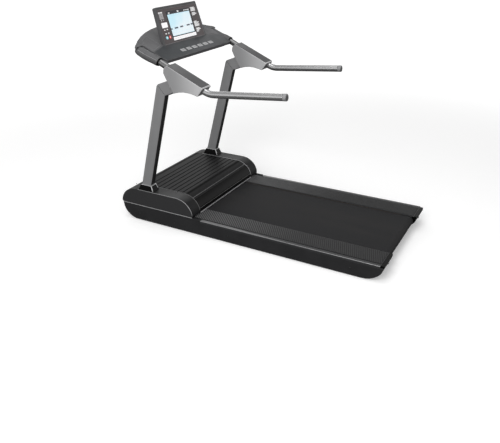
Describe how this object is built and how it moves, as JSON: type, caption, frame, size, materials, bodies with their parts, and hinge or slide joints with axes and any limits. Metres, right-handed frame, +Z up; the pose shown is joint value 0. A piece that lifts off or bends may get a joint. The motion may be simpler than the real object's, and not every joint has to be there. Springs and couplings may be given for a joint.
{
  "type": "treadmill",
  "caption": "Motorised treadmill with a ribbed motor hood, aluminium foot rails, raked uprights, long side handles and a tray console with a tilted display.",
  "frame": {"origin": "on the floor, at the middle of the length and the width", "axes": "+Z up, +Y toward the motor hood and console, +X to the runner's right"},
  "size_m": [0.9224, 1.907, 1.4036],
  "materials": {
    "frame_steel": "satin black powder coat",
    "charcoal_plastic": "fine moulded texture",
    "rail_aluminium": "satin extruded",
    "gloss_black": "polished",
    "black_rubber": "matte",
    "belt_rubber": "fine pebbled weave",
    "deck_board": "phenolic faced board",
    "bright_steel": "turned",
    "silver_paint": "metallic silver-grey paint",
    "silver_cover": "metallic silver-grey paint on plastic",
    "grey_plastic": "fine moulded texture",
    "display_panel": "printed dark overlay",
    "screen_glass": "lit liquid crystal behind clear glass",
    "key_grey": "satin",
    "start_blue": "satin",
    "stop_red": "satin"
  },
  "bodies": {
    "frame": {"side_beam_left": "frame_steel", "side_beam_right": "frame_steel", "cross_beam_middle": "frame_steel", "cross_beam_rear": "frame_steel", "motor_pan": "charcoal_plastic", "side_skirt_left": "charcoal_plastic", "side_skirt_right": "charcoal_plastic", "foot_rail_left": "rail_aluminium", "foot_rail_right": "rail_aluminium", "rear_end_cap_left": "gloss_black", "rear_end_cap_right": "gloss_black", "rear_foot_left": "black_rubber", "rear_foot_right": "black_rubber", "front_foot_left": "black_rubber", "front_foot_right": "black_rubber", "running_belt": "belt_rubber", "deck_board": "deck_board", "deck_cushion_left": "black_rubber", "deck_cushion_right": "black_rubber", "front_axle": "bright_steel", "rear_axle": "bright_steel", "drive_belt": "black_rubber", "motor_casing": "frame_steel", "motor_bracket": "frame_steel", "motor_controller": "rail_aluminium", "hood_centre": "charcoal_plastic", "hood_side_left": "charcoal_plastic", "hood_side_right": "charcoal_plastic", "hood_lip": "gloss_black", "upright_left": "silver_paint", "upright_right": "silver_paint", "upright_boot_left": "gloss_black", "upright_boot_right": "gloss_black", "handle_tube_left": "silver_paint", "handle_tube_right": "silver_paint", "handle_housing_left": "silver_cover", "handle_housing_right": "silver_cover", "handle_cap_left": "black_rubber", "handle_cap_right": "black_rubber", "console_tray": "grey_plastic", "console_base": "charcoal_plastic", "console_pod_left": "grey_plastic", "console_pod_right": "grey_plastic", "display_case": "grey_plastic", "display_panel": "display_panel", "display_screen": "screen_glass"},
    "front_roller": {"front_roller": "bright_steel", "roller_pulley": "rail_aluminium"},
    "rear_roller": {"rear_roller": "bright_steel"},
    "rotor": {"motor_rotor": "bright_steel"},
    "wheel_left": {"transport_wheel_left": "black_rubber"},
    "wheel_right": {"transport_wheel_right": "black_rubber"},
    "key_1": {"console_key_1": "key_grey"},
    "key_2": {"console_key_2": "key_grey"},
    "key_3": {"console_key_3": "key_grey"},
    "key_4": {"console_key_4": "key_grey"},
    "key_5": {"console_key_5": "key_grey"},
    "key_6": {"console_key_6": "key_grey"},
    "start": {"start_key": "start_blue"},
    "stop": {"stop_key": "stop_red"}
  },
  "joints": [
    {"name": "front_roller_spin", "type": "hinge", "parent": "frame", "child": "front_roller", "pos_m": [0, 0.4215, 0.0745], "axis": [1, 0, 0], "continuous": true},
    {"name": "rear_roller_spin", "type": "hinge", "parent": "frame", "child": "rear_roller", "pos_m": [0, -0.9055, 0.0785], "axis": [1, 0, 0], "continuous": true},
    {"name": "rotor_spin", "type": "hinge", "parent": "frame", "child": "rotor", "pos_m": [-0.318, 0.6465, 0.118], "axis": [1, 0, 0], "continuous": true},
    {"name": "wheel_left_spin", "type": "hinge", "parent": "frame", "child": "wheel_left", "pos_m": [-0.35, 0.7815, 0.0262], "axis": [1, 0, 0], "continuous": true},
    {"name": "wheel_right_spin", "type": "hinge", "parent": "frame", "child": "wheel_right", "pos_m": [0.35, 0.7815, 0.0262], "axis": [1, 0, 0], "continuous": true},
    {"name": "key_1_press", "type": "slide", "parent": "frame", "child": "key_1", "axis": [0, 0.4204, -0.9073], "range_m": [0, 0.0015], "stiffness_N_per_m": 400},
    {"name": "key_2_press", "type": "slide", "parent": "frame", "child": "key_2", "axis": [0, 0.4204, -0.9073], "range_m": [0, 0.0015], "stiffness_N_per_m": 400},
    {"name": "key_3_press", "type": "slide", "parent": "frame", "child": "key_3", "axis": [0, 0.4204, -0.9073], "range_m": [0, 0.0015], "stiffness_N_per_m": 400},
    {"name": "key_4_press", "type": "slide", "parent": "frame", "child": "key_4", "axis": [0, 0.4204, -0.9073], "range_m": [0, 0.0015], "stiffness_N_per_m": 400},
    {"name": "key_5_press", "type": "slide", "parent": "frame", "child": "key_5", "axis": [0, 0.4204, -0.9073], "range_m": [0, 0.0015], "stiffness_N_per_m": 400},
    {"name": "key_6_press", "type": "slide", "parent": "frame", "child": "key_6", "axis": [0, 0.4204, -0.9073], "range_m": [0, 0.0015], "stiffness_N_per_m": 400},
    {"name": "start_press", "type": "slide", "parent": "frame", "child": "start", "axis": [0, 0.9568, -0.2907], "range_m": [0, 0.0012], "stiffness_N_per_m": 400},
    {"name": "stop_press", "type": "slide", "parent": "frame", "child": "stop", "axis": [0, 0.9568, -0.2907], "range_m": [0, 0.0012], "stiffness_N_per_m": 400}
  ],
  "couplings": [
    {"joint": "rear_roller_spin", "follows": "front_roller_spin", "ratio": 1.1538},
    {"joint": "rotor_spin", "follows": "front_roller_spin", "ratio": 2.2}
  ]
}
